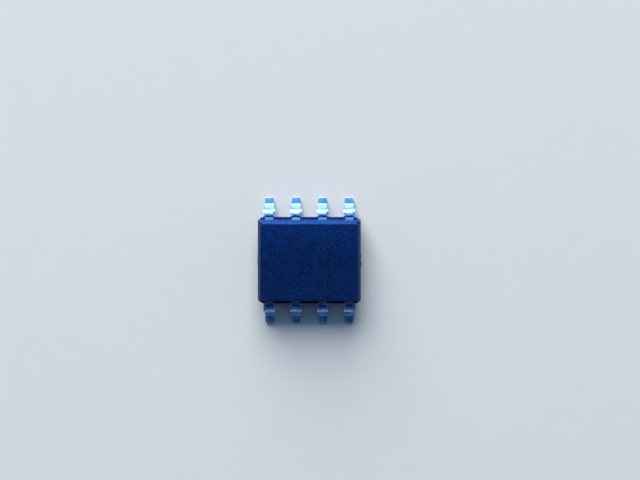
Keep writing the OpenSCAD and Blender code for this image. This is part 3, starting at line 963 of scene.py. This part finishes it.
# The droop of a stub: where it starts inside the shoulder's side and what it grows over, and how far out
# and down it reaches.
DROOP_START = 0.015 * MM
DROOP_GROWTH = 0.04 * MM
DROOP_LENGTH = 0.12 * MM
DROOP_DEPTH = 0.16 * MM

# Masks: how far the resin stain passes the shoulder's side and what it fades over, and how near to the
# side of a stub and to the toe a face is bare.
STAIN_OVERLAP = 0.025 * MM
STAIN_FADE = 0.03 * MM
BARE_SIDE = 0.03 * MM
BARE_TOE = 0.06 * MM


def lead_centre(number):
    """X of a lead: one to four run from +X to -X on the +Y side, five to eight come back on the -Y side."""
    x = (1.5 - (number - 1) % 4) * PITCH
    return x if number <= 4 else -x


def lead_shape(bm, s, m, corner):
    """One lead of the +Y row, centred on x = 0: its inner head, and the face to draw out to the foot."""
    half = s.shoulder_width / 2
    tip = LEAD_LOW.y
    root = tip + HEAD_DEPTH
    low_x, high_x = (-half, CORNER_REACH) if corner else (-HEAD_REACH, HEAD_REACH)
    block(bm, (low_x, tip, m.band_bottom), (high_x, root, m.band_top))
    for x in ((half,) if corner else (-half, half)):
        cut(bm, (x, 0, 0), (1, 0, 0))
    ends = (high_x,) if corner else (low_x, high_x)
    uprights = [e for e in bm.edges if run(e, Z) > LONG
                and any(abs(middle_of(e).x - x) < TINY for x in ends)]
    round_off(bm, uprights, HEAD_CORNER, 1)
    bm.normal_update()
    if corner:
        front = next(f for f in bm.faces if f.normal.y < -0.9 and f.calc_center_median().x < half)
        cut(bm, (TAIL_EDGE, 0, 0), (1, 0, 0), geom=front.verts[:] + front.edges[:] + [front])
        bm.normal_update()
        front = next(f for f in bm.faces if f.normal.y < -0.9 and f.calc_center_median().x < TAIL_EDGE)
        end = draw_out(bm, front, (0, TAIL_END - tip, 0))
        round_off(bm, [e for e in end.edges if run(e, Z) > LONG], HEAD_CORNER, 1)
        bm.normal_update()
    return next(
        f for f in bm.faces
        if f.normal.y > 0.9 and abs(f.calc_center_median().y - root) < TINY
        and abs(f.calc_center_median().x) < half / 2
    )


def draw_to(bm, strip, stations):
    """Draws the strip's end on along Y to each station in turn."""
    at = strip.calc_center_median().y
    for y in stations:
        strip = draw_out(bm, strip, (0, y - at, 0))
        at = y
    return strip


def bend_lead(bm, strip, s, m):
    """Draws the strip out of the moulding, bends it at shoulder and heel, and ends it in the foot."""
    wall, edge, toe = m.body_width / 2, BODY_HIGH.y, LEAD_HIGH.y
    foot = toe - s.foot_length
    along, down = math.cos(s.slope), math.sin(s.slope)
    shoulder_z = m.band_bottom - s.shoulder_bend
    heel_z = s.thickness + s.heel_bend
    reach = s.shoulder_bend + s.thickness + s.heel_bend
    straight = (shoulder_z - heel_z + reach * along) / down
    bend = foot - reach * down - straight * along
    strip = draw_to(bm, strip, (wall - RING_STEP, edge - RING_STEP, edge - FADE_START, edge, edge))
    bmesh.ops.scale(bm, vec=(s.stub_width / s.shoulder_width, 1, 1), verts=strip.verts)
    strip = draw_to(bm, strip, (edge + CLAMP_END, bend))
    for centre, way in (((0, bend, shoulder_z), -1), ((0, foot, heel_z), 1)):
        made = bmesh.ops.spin(
            bm, geom=strip.verts[:] + strip.edges[:] + [strip], cent=centre, axis=(1, 0, 0),
            angle=way * s.slope, steps=s.bend_steps, use_merge=False, use_duplicate=False,
        )["geom_last"]
        strip = next(f for f in made if isinstance(f, bmesh.types.BMFace))
        if way < 0:
            for _ in range(3):
                strip = draw_out(bm, strip, (0, straight / 3 * along, -straight / 3 * down))
    strip = draw_out(bm, strip, (0, toe - foot, 0))
    press_and_trim(bm, s, m, foot)
    return strip


def press_and_trim(bm, s, m, foot):
    """The coined foot, the mould's clamp print on the shoulder, and the outline with the dambar stubs."""
    wall, edge = m.body_width / 2, BODY_HIGH.y
    wide, narrow = s.stub_width / 2, s.foot_width / 2
    for v in bm.verts:
        if v.co.y > foot and v.co.z > s.thickness - 0.1 * TINY:
            v.co.z -= (v.co.y - foot) * math.tan(s.foot_slope)
        if wall - PRESSED < v.co.y < edge + PRESSED and v.co.z > m.band_top - 0.1 * TINY:
            pressed = min(1.0, (edge + CLAMP_END - v.co.y) / CLAMP_FADE)
            v.co.z -= pressed * (s.clamp_print + (v.co.y - wall) * math.tan(s.print_slope))
        if v.co.y > edge + 0.1 * TINY:
            down = part_way(m.band_bottom - v.co.z, s.stub_taper)
            v.co.x = math.copysign(wide + (narrow - wide) * down, v.co.x)


def finish_lead(bm, toe_face, s, m, seed):
    """Rounds the toe and the stamped edges, dents the surface, and marks where it is bare or stained."""
    edge, toe = BODY_HIGH.y, LEAD_HIGH.y
    foot = toe - s.foot_length
    round_off(bm, [e for e in toe_face.edges if run(e, Z) > LONG], s.toe_corner, 6)
    bm.normal_update()
    crown = hard_edges(bm, 60, lambda e: (
        middle_of(e).y > toe - s.toe_corner - TINY and min(v.co.z for v in e.verts) > 0.75 * s.thickness
        and run(e, Z) < LEVEL
    ))
    round_off(bm, crown, s.toe_edge, 5)
    across = [e for e in bm.edges
              if edge - ROWS_START < middle_of(e).y < foot + TINY and run(e, X) > ACROSS]
    bmesh.ops.subdivide_edges(bm, edges=across, cuts=9, use_grid_fill=True)
    bm.normal_update()
    stamped = hard_edges(bm, 50, lambda e: middle_of(e).y > edge - ROLLED_START)
    round_off(bm, stamped, s.rolled_edge, 5)
    bm.normal_update()
    dent_and_burr(bm, s, m, edge, seed)
    bleed = bm.verts.layers.float.new("bleed")
    for v in bm.verts:
        inside = s.shoulder_width / 2 + STAIN_OVERLAP - abs(v.co.x)
        v[bleed] = part_way(inside, STAIN_FADE) if v.normal.z > 0.3 else 0.0
    bare = bm.faces.layers.float.new("bare")
    for face in bm.faces:
        middle = face.calc_center_median()
        trimmed_stub = abs(face.normal.x) > 0.7 and abs(middle.x) > s.stub_width / 2 - BARE_SIDE
        trimmed_toe = face.normal.y > 0.75 and middle.y > toe - BARE_TOE
        face[bare] = 1.0 if trimmed_stub or trimmed_toe else 0.0


def dent_and_burr(bm, s, m, edge, seed):
    """Small dents all over, a wandering clamp line, and stubs dragged down by the punch and left ragged."""
    shift = Vector((seed * 1.7, seed * -0.9, seed * 0.4))
    for v in bm.verts:
        if v.co.y < edge - DENT_START:
            continue
        dent = noise.noise(v.co / DENT_SIZE + shift) * DENT_DEPTH
        v.co += v.normal * (dent - DENT_SINK)
        if abs(v.co.y - edge - WANDER_PLACE) < WANDER_REACH and v.normal.z > 0.5:
            v.co.y += noise.noise(Vector((v.co.x / WANDER_SIZE, seed, 0))) * WANDER
        outside = part_way(abs(v.co.x) - s.shoulder_width / 2 + DROOP_START, DROOP_GROWTH)
        top = max(0.0, 1 - (m.band_top - v.co.z) / DROOP_DEPTH)
        past = min(max(0.0, v.co.y - edge), DROOP_LENGTH)
        v.co.z -= outside * top * past * math.tan(s.stub_droop)
        if abs(v.co.x) > s.stub_width / 2 - BURR_BAND and v.co.y > edge + BURR_START:
            tear = noise.noise(v.co / BURR_SIZE + shift * 2)
            v.co.x += math.copysign(max(0.0, tear - 0.05) * BURR_HEIGHT - BURR_SINK, v.co.x)
        v.co.y = min(v.co.y, LEAD_HIGH.y)
        v.co.z = max(v.co.z, 0.0)


class CHIP_OT_leads(Operator):
    """Model the eight leads: inner heads, dambar stubs, two bends and rounded toes"""

    bl_idname = "chip.leads"
    bl_label = "Leads"

    def execute(self, context):
        s = context.scene.chip_leads
        m = context.scene.chip_moulding
        material = plated_material(s)
        for number in LEADS:
            corner = number in CORNER_LEADS
            x = lead_centre(number) if number <= 4 else -lead_centre(number)
            bm = bmesh.new()
            strip = lead_shape(bm, s, m, corner)
            toe_face = bend_lead(bm, strip, s, m)
            finish_lead(bm, toe_face, s, m, number)
            if corner and x > 0:
                bmesh.ops.scale(bm, vec=(-1, 1, 1), verts=bm.verts)
                bmesh.ops.reverse_faces(bm, faces=bm.faces)
            bmesh.ops.translate(bm, vec=(x, 0, 0), verts=bm.verts)
            if number > 4:
                bmesh.ops.rotate(bm, verts=bm.verts, cent=(0, 0, 0), matrix=TURNED_ROUND)
            name, node = "formed_lead_%d" % number, "lead_%d" % number
            finished(bm, name, [material], [node], crease=LEAD_CREASE)
        return {"FINISHED"}


# ---------------------------------------------------------------- inside

class CHIP_OT_inside(Operator):
    """Give the paddle, the adhesive, the die and the wires their finishes"""

    bl_idname = "chip.inside"
    bl_label = "Inside"

    def execute(self, context):
        s = context.scene.chip_inside
        finishes = {
            "die_paddle": copper_material(s),
            "die_attach": adhesive_material(s),
            "silicon_die": silicon_material(s),
        }
        gold = gold_material(s)
        finishes.update({"bond_wire_%d" % i: gold for i in LEADS})
        for name, material in finishes.items():
            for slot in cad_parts[name].material_slots:
                slot.material = material
        return {"FINISHED"}


# ---------------------------------------------------------------- the studio

FLOOR_GAP = 0.01 * MM
FLOOR_REACH = 600 * MM


class CHIP_OT_studio(Operator):
    """Set the floor, the soft light, the surroundings and the camera"""

    bl_idname = "chip.studio"
    bl_label = "Studio"

    def execute(self, context):
        scene = context.scene
        s = scene.chip_stage
        self.lay_floor(scene, s)
        scene.world = self.surroundings(s)
        self.lamp(scene, "window", s.window_turn, s.window_rise, s.lamp_distance,
                  (s.window_width, s.window_height), s.window_power, s.window_colour)
        self.lamp(scene, "overhead", s.overhead_turn, s.overhead_rise, s.lamp_distance,
                  (s.overhead_width, s.overhead_height), s.overhead_power, s.overhead_colour)
        self.set_camera(scene, s)
        scene.view_settings.view_transform = "Standard"
        return {"FINISHED"}

    def lay_floor(self, scene, s):
        """Paper just under the seating plane."""
        bm = bmesh.new()
        under = Matrix.Translation((0, 0, -FLOOR_GAP))
        bmesh.ops.create_grid(bm, x_segments=2, y_segments=2, size=FLOOR_REACH, matrix=under)
        mesh = bpy.data.meshes.new("floor")
        bm.to_mesh(mesh)
        bm.free()
        floor = bpy.data.objects.new("floor", mesh)
        scene.collection.objects.link(floor)
        material, tree, shader, place = new_material("floor_paper", Roughness=0.9, Specular_IOR_Level=0.1)
        tooth = noise_at(tree, -900, 0, place, 900.0, 3.0, 0.6)
        tone = mixed(tree, -300, 0, tooth, lighter(s.floor_colour, 0.985), lighter(s.floor_colour, 1.015))
        feed(tree, shader, Base_Color=tone)
        mesh.materials.append(material)

    def surroundings(self, s):
        """A lit wall on the window's side, a shaded one across from it, and a dark ceiling."""
        world = bpy.data.worlds.new("surroundings")
        world.use_nodes = True
        tree = world.node_tree
        direction = put(tree, "ShaderNodeTexCoord", -900, 0)
        x, y, z = parts_of(tree, -700, 0, direction.outputs["Generated"])
        turned = plus(tree, -600, -200, y, times(tree, -650, -300, x, 0.10))
        side = ranged(tree, -500, -200, turned, -0.3, 0.8, smooth=True)
        walls = mixed(tree, -300, -200, side, s.shade_colour, s.lit_colour)
        dimmed_low = ranged(tree, -500, -400, z, 0.0, 0.35, 0.4, 1.0, True)
        walls = mixed(tree, -200, -200, 1.0, walls, dimmed_low, "MULTIPLY")
        height = ranged(tree, -500, 0, z, 0.10, 0.86, smooth=True)
        sky = mixed(tree, -100, 0, height, walls, s.ceiling_colour)
        feed(tree, tree.nodes["Background"], Color=sky)
        return world

    def lamp(self, scene, name, turn, rise, distance, size, watts, tint):
        """A soft panel that faces the chip; it is turned from +Y towards -X."""
        data = bpy.data.lights.new(name, "AREA")
        data.shape = "RECTANGLE"
        data.size, data.size_y = size
        data.energy = watts
        data.color = tint
        ahead = math.cos(rise)
        place = Vector((-math.sin(turn) * ahead, math.cos(turn) * ahead, math.sin(rise))) * distance
        lamp = bpy.data.objects.new(name, data)
        lamp.location = place
        lamp.rotation_euler = place.to_track_quat("Z", "Y").to_euler()
        lamp.visible_camera = False
        scene.collection.objects.link(lamp)

    def set_camera(self, scene, s):
        """A camera that looks straight down."""
        data = bpy.data.cameras.new("camera")
        data.lens = data.sensor_width / 2 / math.tan(s.camera_angle / 2)
        data.clip_start = MM
        data.clip_end = 10.0
        camera = bpy.data.objects.new("camera", data)
        camera.location = (s.camera_x, s.camera_y, s.camera_distance)
        scene.collection.objects.link(camera)
        scene.camera = camera


class CHIP_PT_panel(Panel):
    """Lists the chip's pieces and their sizes"""

    bl_idname = "CHIP_PT_panel"
    bl_label = "Small-outline chip"
    bl_space_type = "VIEW_3D"
    bl_region_type = "UI"
    bl_category = "Chip"

    def draw(self, context):
        layout = self.layout
        for operator in OPERATORS:
            layout.operator(operator.bl_idname)
        for name in SETTINGS:
            box = layout.box()
            group = getattr(context.scene, name)
            for key in group.__annotations__:
                box.prop(group, key)


SETTINGS = {
    "chip_moulding": MouldingSettings,
    "chip_leads": LeadSettings,
    "chip_inside": InsideSettings,
    "chip_stage": StageSettings,
}
OPERATORS = (CHIP_OT_studio, CHIP_OT_moulding, CHIP_OT_torn_resin, CHIP_OT_leads, CHIP_OT_inside)


def register():
    for cls in (*SETTINGS.values(), *OPERATORS, CHIP_PT_panel):
        bpy.utils.register_class(cls)
    for name, cls in SETTINGS.items():
        setattr(bpy.types.Scene, name, PointerProperty(type=cls))


def unregister():
    for name in SETTINGS:
        delattr(bpy.types.Scene, name)
    for cls in reversed((*SETTINGS.values(), *OPERATORS, CHIP_PT_panel)):
        bpy.utils.unregister_class(cls)


def main():
    register()
    bpy.ops.chip.studio()
    bpy.ops.chip.moulding()
    bpy.ops.chip.torn_resin()
    bpy.ops.chip.leads()
    bpy.ops.chip.inside()


if __name__ == "__main__":
    main()
